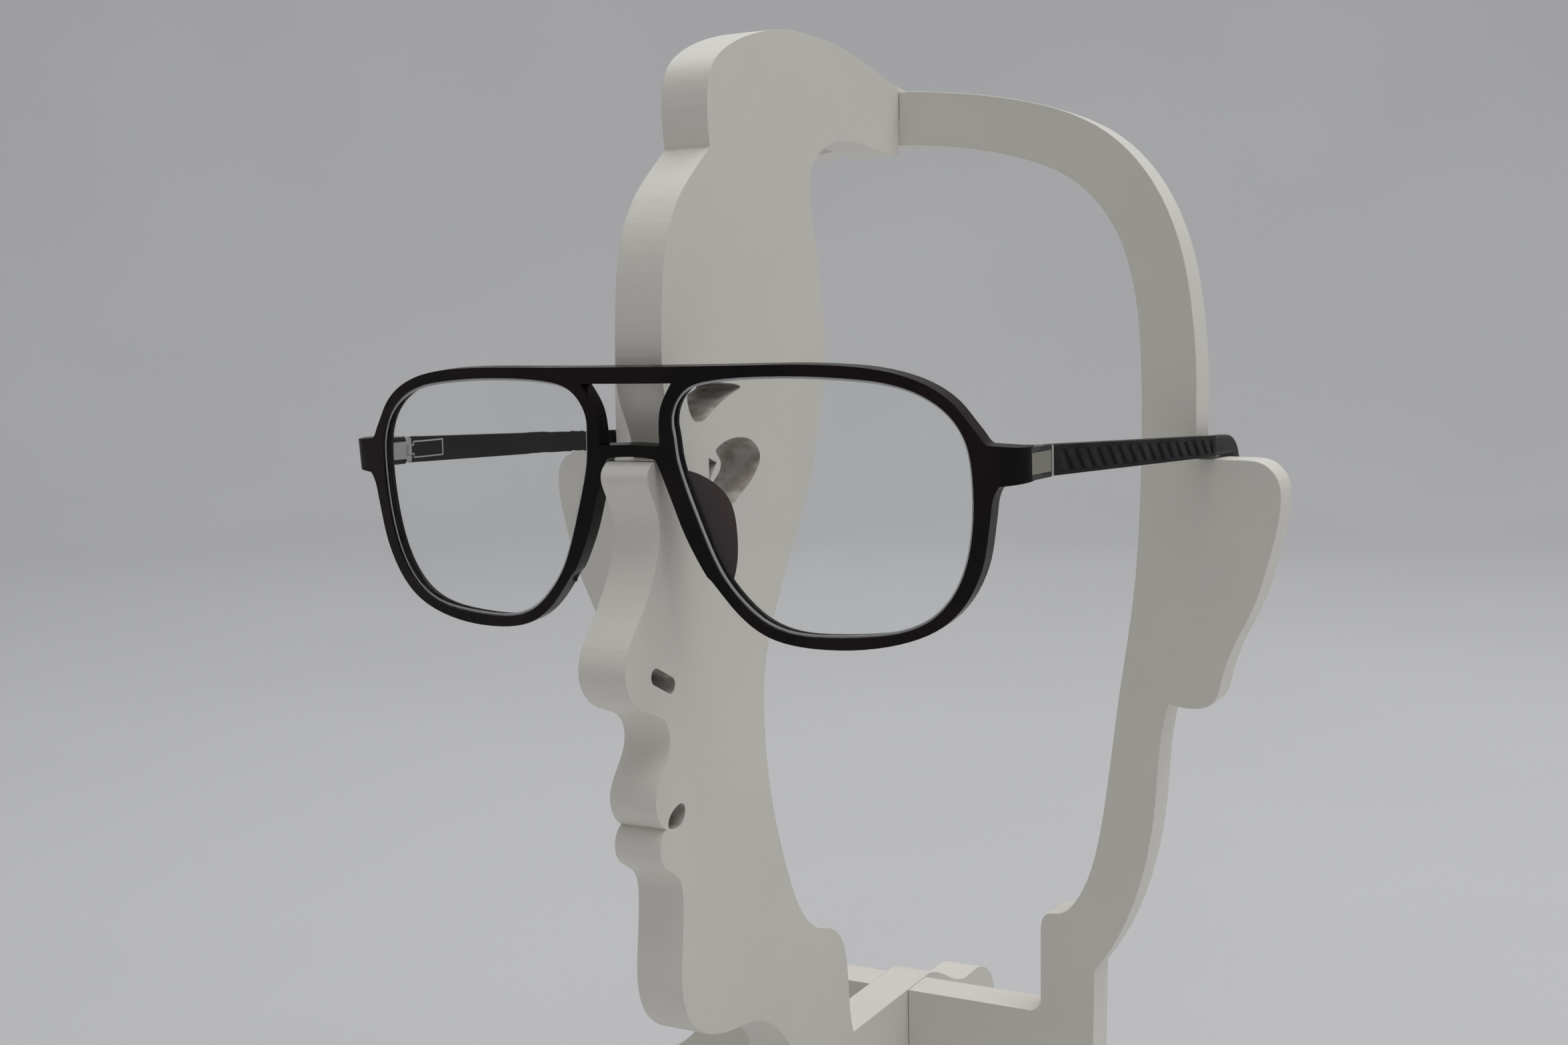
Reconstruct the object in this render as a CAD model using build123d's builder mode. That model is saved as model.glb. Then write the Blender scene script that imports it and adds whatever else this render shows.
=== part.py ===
from build123d import *
import os
from math import atan2, cos, radians, sin, tan

# Cut-out head stand for one pair of glasses, with a double-bridge pair resting on it.
# Millimetres. +X is the head's left, the face looks towards -Y, +Z is up. The origin is on the
# table, in the head's plane of symmetry and in the middle plane of the ring board.

os.makedirs("parts", exist_ok=True)

# ---- overall sizes of the stand ----
stand_height = 290.0      # table to the crest of the quiff
head_depth = 124.0        # middle plane of the ring board to the tip of the nose
head_width = 148.0        # across the ring board, above the ears
board_t = 10.0            # thickness of both boards
lap_gap = 0.1             # gap on each side of a board in its cross-lap slot

# The outlines below are drawn on a life-size grid and stretched to the overall sizes.
grid_height = 290.0
grid_depth = 124.0
grid_width = 148.0
kx = head_width / grid_width
ky = head_depth / grid_depth
kz = stand_height / grid_height

# ---- where the glasses rest ----
shelf_z = 206.0 * kz      # top of the nose shelf
forehead_y = -109.4 * ky  # foremost point of the brow
ear_shelf_z = 200.7 * kz  # ledge between the head's side and the ear
ear_shelf_w = 5.4         # width of that ledge
ring_top_z = 283.4 * kz
ring_limb = 12.0          # height of the ring board's limb at the top
bar_top_z = 72.5 * kz     # top of the cross bar and of the neck
rest_gap = 0.3            # clearance under the bridge and under each temple

# ---- glasses ----
frame_width = 144.0       # across the end pieces
nose_gap = 0.7            # side of the profile board to the rim beside it
nasal_rim = 3.35          # rim between the nose and the lens
end_w = 8.4               # lens opening to the side of the front
lens_h = 46.45
bar_depth = 3.4           # front to back of the front frame
front_radius = 290.0      # wrap of the front
front_tilt = 5.5          # lower edge of the front leans towards the face
brow_gap = 0.4            # back of the bridge to the foremost point of the brow
bridge_h = 2.8            # height of the lower bridge, beside the board
bridge_arch = 0.6         # rise of its underside in the middle
lens_t = 1.8
groove = 0.5              # depth of the lens groove in the rim
fit_gap = 0.05            # clearance round pieces that are let into another
lug_t = 4.2               # end piece, outside to inside
lug_h = 5.6
lug_back = 22.0           # front of the bridge to the parting line at the hinge
lug_flare = 0.6           # how far the end piece stands outside the front's width
hinge_inset = 0.6         # hinge axis, inward of the middle of the lug
flex_gap = 0.12           # lug end to the temple's front end when it is swung open
seam_gap = 0.15           # hinge axis to the temple's front end
flex_angle = 6.0          # spring opening of a temple beyond its rest place
plate_t = 0.5             # metal plate let into the side of the lug
plate_l = 9.4
plate_h = 3.8
collar_t = 0.8            # metal collar on the temple's front end
pin_r = 0.65
knuckle_r = 1.35
knuckle_h = 2.2           # middle knuckle
knuckle_end_h = 1.25      # upper and lower knuckles
knuckle_gap = 0.05        # axial gap between knuckles, radial gap round the pin
fork_gap = 0.25           # knuckles to the pieces round them
screw_head_r = 1.1
screw_head_t = 0.35
screw_slot = 0.3
leaf_t = 0.8              # hinge leaves on the inner side
leaf_h = 3.6
leaf_l = 7.0
leaf_proud = 0.3
spring_case_l = 10.5
temple_t = 3.6
temple_h = 5.4            # at the hinge
temple_h_ear = 4.3        # over the ear
side_gap = 0.6            # head's side to the inside of the temple
inlay_t = 0.5
inlay_margin = 0.7
inlay_start = 4.2         # hinge to the front end of the inlay
inlay_end = 1.6           # back end of the inlay to the tip sleeve
tip_start = 0.4           # front face of the ring board to the tip sleeve's front end
tip_drop = 30.0           # length of the tip behind the ear
tip_angle = 60.0          # below the temple's line
tip_bend_r = 2.5          # inside radius of the bend
tongue_l = 8.0            # end of the arm inside the tip sleeve
tongue_t = 1.6
tongue_h = 2.4
pad_t = 1.5
pad_depth = 6.8

# ---- places worked out from the sizes above ----
front_y = forehead_y - brow_gap - bar_depth          # front of the bridge
sight_z = shelf_z + rest_gap + bridge_h              # top of the lower bridge
bridge_w = board_t + 2 * (nose_gap + nasal_rim)      # between the lens openings
lens_w = (frame_width - bridge_w) / 2 - end_w
lug_outside = frame_width / 2 + lug_flare
lug_inside = lug_outside - lug_t
hinge_x = lug_outside - lug_t / 2 - hinge_inset
hinge_y = front_y + lug_back
lug_z = sight_z - 3.1                                # middle height of the lug
temple_inside = lug_outside - temple_t                # inner face of the temple at the hinge
ear_inside = head_width / 2 + side_gap                # inner face of the temple at the ring board
splay = atan2(ear_inside - temple_inside, -board_t / 2 - hinge_y)
swing = radians(flex_angle)
lean = radians(front_tilt)


def side_point(y, z):
    """A point of the profile board's outline, on the head's plane of symmetry."""
    return (y * ky, z * kz)


def front_point(x, z):
    """A point of the ring board's outline."""
    return (x * kx, z * kz)


def side_points(*pairs):
    return [side_point(y, z) for y, z in pairs]


def front_points(*pairs):
    return [front_point(x, z) for x, z in pairs]


def write(part, name):
    part.label = name
    export_step(part, "parts/" + name + ".step")


def write_pair(part, name):
    """The left piece, and its mirror image for the right."""
    write(part, name + "_left")
    write(mirror(part, about=Plane.YZ), name + "_right")


# ---- profile board: the face seen from the side, cap arm at the top, neck and foot below ----
notch = side_point(-90.5, 263.8)
arm_top = (board_t / 2, ring_top_z)
arm_under = (board_t / 2, ring_top_z - ring_limb)
inner_corner = side_point(-49.4, 262.5)
bar_front = side_point(-34.5, 72.5)
bar_back = (board_t / 2 + 2.0, bar_top_z)
rear_top = side_point(50.6, 55.4)
rear_foot = side_point(72.0, 0.0)
front_foot = side_point(-92.0, 0.0)
throat = side_point(-65.0, 80.5)
slit = side_point(-111.5, 138.0)
shelf_back = (forehead_y + 5.4, shelf_z)
shelf_front = (forehead_y - 3.6, shelf_z)

cap_line = side_points(
    (-91.3, 271.0), (-89.6, 278.5), (-84.0, 282.9), (-73.0, 287.0), (-60.0, 289.6),
    (-48.0, 290.0), (-34.0, 289.4), (-20.0, 287.0),
)
arm_line = side_points((-29.0, 270.0), (-40.0, 268.6))
face_back = side_points(
    (-49.6, 257.0), (-47.5, 248.0), (-44.4, 233.0), (-44.0, 221.0), (-47.5, 209.0), (-53.0, 195.5),
    (-60.0, 185.0), (-66.5, 175.0), (-72.0, 164.5), (-73.4, 154.0), (-72.5, 142.5), (-69.8, 131.0),
    (-65.0, 118.6), (-59.4, 108.4), (-51.8, 101.8), (-43.9, 99.0), (-39.5, 95.0), (-36.9, 86.0),
)
nape = side_points((15.0, 70.2), (24.0, 65.8), (31.0, 64.0), (38.0, 64.0), (45.0, 62.0))
rear_line = side_points((54.0, 44.0), (61.0, 34.0), (69.0, 20.0))
chest = side_points((-90.0, 18.0), (-82.0, 36.0), (-70.0, 50.0), (-64.6, 64.0))
jaw = side_points(
    (-68.6, 84.3), (-72.0, 87.1), (-78.7, 90.3), (-85.0, 91.4), (-91.6, 92.4), (-99.0, 94.8),
    (-104.6, 99.2), (-107.2, 106.0), (-106.9, 113.0), (-106.1, 122.0), (-107.2, 127.4),
    (-110.8, 130.0), (-113.4, 132.6), (-113.6, 135.4),
)
nose = side_points(
    (-114.2, 140.7), (-115.0, 143.6), (-112.4, 148.8), (-109.6, 153.8), (-110.4, 157.4),
    (-116.2, 160.6), (-121.6, 163.5), (-124.0, 168.0), (-122.4, 173.6), (-118.8, 178.0),
    (-114.6, 183.8), (-111.8, 190.0), (-111.4, 194.0), (-113.0, 198.6), (-115.2, 203.2),
)
brow_line = side_points((-106.4, 213.0), (-108.4, 217.0))
forehead = side_points(
    (-108.8, 236.0), (-107.6, 243.4), (-105.4, 249.0), (-101.6, 254.4), (-96.6, 259.0),
)

brow_hole = side_points((-100.2, 215.4), (-98.0, 212.7), (-88.0, 216.0), (-80.6, 218.5), (-88.5, 219.7))
eye_hole = side_points(
    (-90.4, 207.0), (-87.4, 208.2), (-81.6, 208.8), (-75.6, 207.5), (-73.2, 204.8), (-75.0, 201.6),
    (-80.2, 198.2), (-87.6, 195.7), (-90.8, 197.4), (-92.4, 199.8), (-89.9, 202.2), (-88.9, 204.8),
)
iris_hole = side_points((-93.2, 205.6), (-90.3, 204.5), (-93.2, 201.1))
mouth_hole = side_points((-110.8, 138.6), (-109.4, 140.8), (-105.0, 141.1), (-105.2, 138.8), (-109.0, 137.6))
nostril_ends = side_points((-113.9, 167.0), (-108.9, 164.6))
nostril_w = 3.1

lap_z = ring_top_z - ring_limb / 2      # the boards share the ring's limb half and half
foot_lap_z = bar_top_z / 2              # and share the neck half and half

with BuildPart() as profile_board:
    with BuildSketch(Plane.YZ):
        with BuildLine():
            Spline(notch, *cap_line, arm_top)
            Line(arm_top, arm_under)
            Spline(arm_under, *arm_line, inner_corner)
            Spline(inner_corner, *face_back, bar_front)
            Line(bar_front, bar_back)
            Spline(bar_back, *nape, rear_top)
            Spline(rear_top, *rear_line, rear_foot)
            Line(rear_foot, front_foot)
            Spline(front_foot, *chest, throat)
            Spline(throat, *jaw, slit)
            Spline(slit, *nose, shelf_front)
            Line(shelf_front, shelf_back)
            Spline(shelf_back, *brow_line, (forehead_y, 226.0 * kz), *forehead, notch)
        make_face()
        with BuildLine():
            Spline(*brow_hole, periodic=True)
        make_face(mode=Mode.SUBTRACT)
        with BuildLine():
            Spline(*eye_hole, periodic=True)
        make_face(mode=Mode.SUBTRACT)
        with BuildLine():
            Polyline(*iris_hole, close=True)
        make_face(mode=Mode.SUBTRACT)
        with BuildLine():
            Spline(*mouth_hole, periodic=True)
        make_face(mode=Mode.SUBTRACT)
        with BuildLine() as nostril:
            Line(*nostril_ends)
        SlotArc(nostril.wires()[0], height=nostril_w, mode=Mode.SUBTRACT)
        with Locations((0, lap_z - ring_limb / 2)):
            Rectangle(board_t + 2 * lap_gap, ring_limb, mode=Mode.SUBTRACT)
        with Locations((0, foot_lap_z / 2)):
            Rectangle(board_t + 2 * lap_gap, foot_lap_z + 2 * lap_gap, mode=Mode.SUBTRACT)
    extrude(amount=board_t / 2, both=True)

write(profile_board.part, "profile_board")

# ---- ring board: the head's outline with its ears, seen from the front, on a shouldered foot ----
crown = (0.0, ring_top_z)
ledge_in = (head_width / 2, ear_shelf_z)
ledge_out = (head_width / 2 + ear_shelf_w, ear_shelf_z)
lobe_nick = front_point(68.2, 146.9)
neck_corner = front_point(51.4, 84.0)
shoulder_top = front_point(51.0, 62.0)
shoulder_foot = front_point(88.0, 0.0)
opening_top = (0.0, ring_top_z - ring_limb)
bar_corner = front_point(38.5, 0.0)[0]
opening_side = (bar_corner, 91.0 * kz)
bar_fillet = 3.0

head_side = front_points(
    (17.0, 282.3), (33.0, 279.6), (45.0, 276.0), (54.5, 270.8), (63.0, 262.0), (68.8, 251.0),
    (72.4, 237.0), (73.8, 224.0),
)
ear_line = front_points(
    (83.6, 200.6), (88.4, 199.8), (91.4, 196.6), (92.0, 190.0), (89.8, 179.4), (86.0, 167.8),
    (82.0, 159.6), (79.8, 152.6), (77.6, 147.4), (73.6, 146.2),
)
jaw_side = front_points((66.6, 139.0), (65.2, 122.8), (62.6, 108.0), (58.0, 95.0))
shoulder = front_points((54.4, 52.6), (61.3, 46.6), (74.0, 38.0), (84.0, 24.0))
opening_line = front_points(
    (20.0, 269.9), (33.0, 267.1), (45.0, 262.2), (54.0, 253.6), (59.6, 240.5), (61.8, 222.0),
    (61.8, 195.0), (60.0, 168.0), (57.2, 149.0), (54.6, 129.0), (52.0, 113.0), (48.6, 102.6),
    (43.0, 96.4),
)

with BuildPart() as ring_board:
    with BuildSketch(Plane.XZ):
        with BuildLine():
            Spline(crown, *head_side, ledge_in, tangents=((1, 0), (0, -1)))
            Line(ledge_in, ledge_out)
            Spline(ledge_out, *ear_line, lobe_nick)
            Spline(lobe_nick, *jaw_side, neck_corner)
            Line(neck_corner, shoulder_top)
            Spline(shoulder_top, *shoulder, shoulder_foot)
            Line(shoulder_foot, (0, 0))
            mirror(about=Plane.YZ)
        make_face()
        with BuildLine():
            Spline(opening_top, *opening_line, opening_side, tangents=((1, 0), (0, -1)))
            FilletPolyline(opening_side, (bar_corner, bar_top_z), (0, bar_top_z), radius=bar_fillet)
            mirror(about=Plane.YZ)
        make_face(mode=Mode.SUBTRACT)
        with Locations((0, lap_z + ring_limb / 2)):
            Rectangle(board_t + 2 * lap_gap, ring_limb + 2 * lap_gap, mode=Mode.SUBTRACT)
        with Locations((0, foot_lap_z + bar_top_z / 2)):
            Rectangle(board_t + 2 * lap_gap, bar_top_z, mode=Mode.SUBTRACT)
    extrude(amount=board_t / 2, both=True)

write(ring_board.part, "ring_board")

# ---- front frame: two rims, top bar and lower bridge on one wrapped front ----
grid_lens_in = 9.05       # sides of the lens opening on the grid
grid_lens_out = 63.6
grid_lens_h = 46.45
grid_lens_z = -11.2       # middle of a lens on the grid
fx = lens_w / (grid_lens_out - grid_lens_in)
fz = lens_h / grid_lens_h


def rim_point(x, z):
    """A point of the left half of the front. Only the part beside the lens is stretched."""
    stretched = min(max(x, grid_lens_in), grid_lens_out)
    return (bridge_w / 2 + (stretched - grid_lens_in) * fx + x - stretched, sight_z + z * fz)


def rim_points(*pairs):
    """Points of the left half of the front, measured from the top of the lower bridge."""
    return [rim_point(x, z) for x, z in pairs]


def wrapped_y(x):
    """Place of the front's face at x, before the front is tilted."""
    return front_y + front_radius - (front_radius**2 - x**2) ** 0.5


# middle height of the end piece in the front before it is tilted
end_z = sight_z + (lug_z - sight_z - (wrapped_y(lug_outside) + bar_depth / 2 - front_y) * sin(lean)) / cos(lean)


def end_point(inwards, z):
    """A point of the left end piece, measured from its outer side and its middle height."""
    return (lug_outside - inwards, end_z + z)


def grown(points, amount):
    """The lens outline with each point moved outwards from the middle of the lens."""
    middle_x = (bridge_w + lens_w) / 2
    middle_z = sight_z + grid_lens_z * fz
    wider = 1 + 2 * amount / lens_w
    taller = 1 + 2 * amount / lens_h
    return [(middle_x + (x - middle_x) * wider, middle_z + (z - middle_z) * taller) for x, z in points]


bar_end = rim_point(30.0, 14.1)
end_top, end_out_top = end_point(6.3, 3.6), end_point(0, 3.0)
end_low, end_out_low = end_point(4.6, -3.5), end_point(0, -3.0)
brow_side = rim_points(
    (41.0, 13.7), (46.5, 13.1), (51.5, 12.0), (55.5, 10.5), (59.0, 8.4), (61.5, 6.0), (63.5, 3.2),
    (64.9, 1.2),
)
rim_low = rim_points(
    (66.9, -9.6), (66.4, -12.3), (65.8, -16.3), (65.0, -20.5), (63.5, -24.6), (61.0, -28.7),
    (57.5, -32.0), (53.1, -34.2), (48.0, -35.6), (42.0, -36.4), (36.0, -36.5), (30.0, -35.9),
    (25.6, -34.6), (21.9, -32.3), (19.0, -29.5), (16.7, -26.7),
)
nick_low, nick_high = rim_points((15.1, -24.7), (14.3, -24.0))
nasal_side = rim_points(
    (13.4, -22.5), (12.0, -19.9), (10.3, -16.3), (8.7, -11.9), (7.3, -7.9), (6.4, -5.4), (5.9, -3.9),
    (5.2, -2.8), (4.2, -2.5), (2.6, -2.3),
)
bridge_low = (0.0, sight_z - bridge_h + bridge_arch)
lens_outline = rim_points(
    (9.05, 2.4), (9.9, 7.2), (12.3, 9.9), (17.5, 11.5), (25.5, 12.05), (34.0, 12.0), (43.0, 11.4),
    (50.5, 10.2), (56.5, 7.7), (60.5, 4.2), (62.7, 0.1), (63.6, -6.0), (63.5, -12.5), (62.7, -18.4),
    (61.2, -23.4), (58.8, -27.6), (55.4, -30.9), (50.5, -33.1), (44.0, -34.1), (36.5, -34.4),
    (30.0, -33.9), (25.2, -32.1), (20.8, -28.5), (17.4, -24.2), (14.3, -17.6), (12.1, -11.5),
    (10.3, -6.0), (9.4, -1.8),
)
window_corner_top, window_corner_low = rim_points((9.7, 11.1), (6.4, -0.2))
window_side = rim_points((8.3, 9.0), (7.1, 6.6), (6.6, 4.2))

front_low = sight_z - lens_h
front_span = 2 * lens_h
lens_back = 0.6          # front of the rim to the front of the lens
ahead = Plane.XZ.offset(1 - front_y)   # a plane just in front of the glasses
reach = 30.0             # long enough to pass through the wrapped front
tilt_axis = Axis((0, front_y, sight_z), (1, 0, 0))


def wrap_band(front_offset, depth):
    """Plan of a band that follows the wrap of the front, from front_offset behind its face."""
    centre_y = front_y + front_radius
    half = frame_width / 2 + 6
    arcs = []
    for radius in (front_radius - front_offset, front_radius - front_offset - depth):
        end_y = centre_y - (radius**2 - half**2) ** 0.5
        arcs.append(ThreePointArc((-half, end_y), (0, centre_y - radius), (half, end_y)))
    Line(arcs[0] @ 0, arcs[1] @ 0)
    Line(arcs[0] @ 1, arcs[1] @ 1)


with BuildPart() as lens:
    with BuildSketch(ahead):
        with BuildLine():
            Spline(*grown(lens_outline, groove), periodic=True)
        make_face()
    extrude(amount=-reach)
    with BuildSketch(Plane.XY.offset(front_low)):
        with BuildLine():
            wrap_band(lens_back, lens_t)
        make_face()
    extrude(amount=front_span, mode=Mode.INTERSECT)

with BuildPart(mode=Mode.PRIVATE) as lens_groove:
    with BuildSketch(ahead):
        with BuildLine():
            Spline(*grown(lens_outline, groove + fit_gap), periodic=True)
        make_face()
    extrude(amount=-reach)
    with BuildSketch(Plane.XY.offset(front_low)):
        with BuildLine():
            wrap_band(lens_back - fit_gap, lens_t + 2 * fit_gap)
        make_face()
    extrude(amount=front_span, mode=Mode.INTERSECT)

# ---- nose pad: a flap along the nasal side of each rim, leaning back and outwards ----
pad_top, pad_foot = rim_points((7.9, -4.6), (17.1, -26.5))   # middle of its thickness
pad_line = (Vector(pad_foot[0], 0, pad_foot[1]) - Vector(pad_top[0], 0, pad_top[1])).normalized()
pad_len = (Vector(*pad_foot) - Vector(*pad_top)).length
pad_out = Vector(-pad_line.Z, 0, pad_line.X)          # square to that line, away from the nose
pad_lean = 30.0                                       # outwards from straight back
pad_root = 0.8                                        # let into the back of the rim
pad_start = 0.4
pad_dir = pad_out * sin(radians(pad_lean)) + Vector(0, 1, 0) * cos(radians(pad_lean))
pad_origin = Vector(pad_top[0], front_y + bar_depth, pad_top[1])
pad_plane = Plane(origin=pad_origin, x_dir=pad_line, z_dir=pad_line.cross(pad_dir))

with BuildPart() as nose_pad:
    with BuildSketch(pad_plane):
        with BuildLine():
            Spline(
                (pad_start, 0), (0.15 * pad_len, 0.62 * pad_depth), (0.36 * pad_len, pad_depth),
                (0.62 * pad_len, 0.84 * pad_depth), (0.85 * pad_len, 0.45 * pad_depth), (pad_len, 0),
            )
            Polyline((pad_len, 0), (pad_len, -pad_root), (pad_start, -pad_root), (pad_start, 0))
        make_face()
    extrude(amount=pad_t / 2, both=True)

# ---- hinge on the lug: a leaf let into its inner side, an upper and a lower knuckle ----
lug_root = 3.0            # how far the lug reaches inwards into the front
lug_start = 1.0           # face of the front to the lug's front end inside it
lug_corner = 1.6          # bevel on the inner side, where the lug leaves the front
lug_rear = (
    hinge_y - flex_gap + seam_gap * cos(splay + swing)
    - (lug_outside - hinge_x) * sin(splay + swing)
)
fork_front = hinge_y - knuckle_r - fork_gap
fork_outside = hinge_x + knuckle_r + fork_gap
knuckle_top = lug_z + knuckle_h / 2 + knuckle_gap
leaf_front = fork_front - leaf_l
leaf_x = lug_inside - leaf_proud          # inner side of the leaf
lug_plane = Plane.XY.offset(lug_z)

with BuildPart() as front_hinge:
    with BuildSketch(lug_plane):
        with Locations((leaf_x + leaf_t / 2, (leaf_front + fork_front) / 2)):
            Rectangle(leaf_t, fork_front - leaf_front)
    extrude(amount=leaf_h / 2, both=True)
    with BuildSketch(Plane.XY.offset(knuckle_top)) as end_knuckle:
        with Locations((hinge_x, hinge_y)):
            Circle(knuckle_r)
        with Locations((leaf_x + leaf_t / 2, (fork_front + hinge_y) / 2)):
            Rectangle(leaf_t, hinge_y - fork_front)
        with Locations((leaf_x + leaf_t, hinge_y - knuckle_r / 2)):
            Rectangle(leaf_t, knuckle_r)
        with Locations((hinge_x, hinge_y)):
            Circle(pin_r + knuckle_gap, mode=Mode.SUBTRACT)
    extrude(amount=knuckle_end_h)
    mirror(about=lug_plane)

# ---- screw through the knuckles, with its slotted head on top ----
screw_high = knuckle_top + knuckle_end_h
screw_low = 2 * lug_z - screw_high

with BuildPart() as hinge_screw:
    with BuildSketch(Plane.XY.offset(screw_low)):
        with Locations((hinge_x, hinge_y)):
            Circle(pin_r)
    extrude(amount=screw_high - screw_low)
    with BuildSketch(Plane.XY.offset(screw_high)):
        with Locations((hinge_x, hinge_y)):
            Circle(screw_head_r)
    extrude(amount=screw_head_t)
    with BuildSketch(Plane.XY.offset(screw_high + screw_head_t)):
        with Locations((hinge_x, hinge_y)):
            Rectangle(2 * screw_head_r, screw_slot, rotation=30)
    extrude(amount=-screw_head_t / 2, mode=Mode.SUBTRACT)

# ---- metal plate let into the outer side of the lug ----
with BuildPart() as side_plate:
    with BuildSketch(Plane.YZ.offset(lug_outside)):
        with Locations((lug_rear - plate_l / 2, lug_z)):
            Rectangle(plate_l, plate_h)
    extrude(amount=-plate_t)

with BuildPart(mode=Mode.PRIVATE) as rims:
    with BuildSketch(ahead):
        with BuildLine():
            Line((0, bar_end[1]), bar_end)
            Spline(bar_end, *brow_side, end_top, tangents=((1, 0), (1, -0.6)))
            Polyline(end_top, end_out_top, end_out_low, end_low)
            Spline(end_low, *rim_low, nick_low)
            Line(nick_low, nick_high)
            Spline(nick_high, *nasal_side, bridge_low)
            mirror(about=Plane.YZ)
        make_face()
        with BuildLine():
            Spline(*lens_outline, periodic=True)
        make_face(mode=Mode.SUBTRACT)
        with BuildLine():
            Spline(*[(-x, z) for x, z in lens_outline], periodic=True)
        make_face(mode=Mode.SUBTRACT)
        with BuildLine():
            Line((0, window_corner_top[1]), window_corner_top)
            Spline(window_corner_top, *window_side, window_corner_low)
            Line(window_corner_low, (0, sight_z))
            mirror(about=Plane.YZ)
        make_face(mode=Mode.SUBTRACT)
    extrude(amount=-reach)
    with BuildSketch(Plane.XY.offset(front_low)):
        with BuildLine():
            wrap_band(0, bar_depth)
        make_face()
    extrude(amount=front_span, mode=Mode.INTERSECT)
    add(lens_groove.part, mode=Mode.SUBTRACT)
    add(mirror(lens_groove.part, about=Plane.YZ), mode=Mode.SUBTRACT)
    add(nose_pad.part, mode=Mode.SUBTRACT)
    add(mirror(nose_pad.part, about=Plane.YZ), mode=Mode.SUBTRACT)

lug_root_x = lug_inside - lug_root
lug_drop = (sight_z - lug_z) * sin(lean)      # what the tilt moves the face back at the lug's height
lug_front = wrapped_y(lug_inside) + lug_drop

with BuildPart() as front_frame:
    add(rims.part.rotate(tilt_axis, front_tilt))
    with BuildSketch(Plane.XY.offset(lug_z - lug_h / 2)):
        with BuildLine():
            Polyline(
                (lug_root_x, wrapped_y(lug_root_x) + lug_drop + lug_start),
                (lug_outside, wrapped_y(lug_outside) + lug_drop + lug_start),
                (lug_outside, lug_rear),
                (fork_outside, lug_rear),
                (fork_outside, fork_front),
                (lug_inside, fork_front),
                (lug_inside, lug_front + bar_depth + lug_corner),
                (lug_root_x, lug_front + bar_depth - lug_corner),
                close=True,
            )
        make_face()
        mirror(about=Plane.YZ)
    extrude(amount=lug_h)
    with BuildSketch(Plane.YZ.offset(lug_outside)):
        with Locations((lug_rear - plate_l / 2, lug_z)):
            Rectangle(plate_l + 2 * fit_gap, plate_h + 2 * fit_gap)
    extrude(amount=-(plate_t + fit_gap), mode=Mode.SUBTRACT)
    with BuildSketch(Plane.YZ.offset(-lug_outside)):
        with Locations((lug_rear - plate_l / 2, lug_z)):
            Rectangle(plate_l + 2 * fit_gap, plate_h + 2 * fit_gap)
    extrude(amount=plate_t + fit_gap, mode=Mode.SUBTRACT)
    with BuildSketch(lug_plane):
        with Locations(
            (leaf_x + leaf_t / 2, (leaf_front + fork_front) / 2),
            (-leaf_x - leaf_t / 2, (leaf_front + fork_front) / 2),
        ):
            Rectangle(leaf_t + 2 * fit_gap, fork_front - leaf_front + 2 * fit_gap)
    extrude(amount=leaf_h / 2 + fit_gap, both=True, mode=Mode.SUBTRACT)

# ---- temple: drawn from the side in a plane that splays outwards from the hinge to the ear ----
temple_plane = Plane(
    origin=(temple_inside, hinge_y, 0),
    x_dir=(sin(splay), cos(splay), 0),
    z_dir=(cos(splay), -sin(splay), 0),
)


def along(y):
    """Distance from the hinge, along the temple, of the place at y."""
    return (y - hinge_y) / cos(splay)


ear_low = ear_shelf_z + rest_gap                      # underside of the temple over the ear
ear_u = along(board_t / 2)
tip_outside = ear_inside + temple_t + board_t * tan(splay)
swing_room = (tip_outside - hinge_x) * sin(swing)     # what the swing brings the tip forwards
bend_y = hinge_y + (board_t / 2 + 2 * rest_gap - hinge_y + swing_room) / cos(swing)
sleeve_u = along(-board_t / 2 + tip_start)
bend_u = along(bend_y)


def temple_low(u):
    """Height of the temple's underside at a distance from the hinge."""
    return lug_z - temple_h / 2 + (ear_low - lug_z + temple_h / 2) * min(u / ear_u, 1)


def temple_high(u):
    return temple_low(u) + temple_h + (temple_h_ear - temple_h) * min(u / ear_u, 1)


def temple_side(start, end, margin=0.0):
    """Corners of a stretch of the temple, seen from the side."""
    return (
        (start, temple_low(start) + margin),
        (end, temple_low(end) + margin),
        (end, temple_high(end) - margin),
        (start, temple_high(start) - margin),
    )


arm_u = seam_gap + collar_t
inlay_back_u = sleeve_u - inlay_end
case_start = knuckle_r + fork_gap
case_end = case_start + spring_case_l
case_z = (temple_low(case_start) + temple_high(case_start)) / 2
sleeve_z = (temple_low(sleeve_u) + temple_high(sleeve_u)) / 2
inner_leaf = temple_plane.offset(-leaf_proud)
outer_side = temple_plane.offset(temple_t)
tongue_plane = temple_plane.offset(temple_t / 2)

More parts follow.
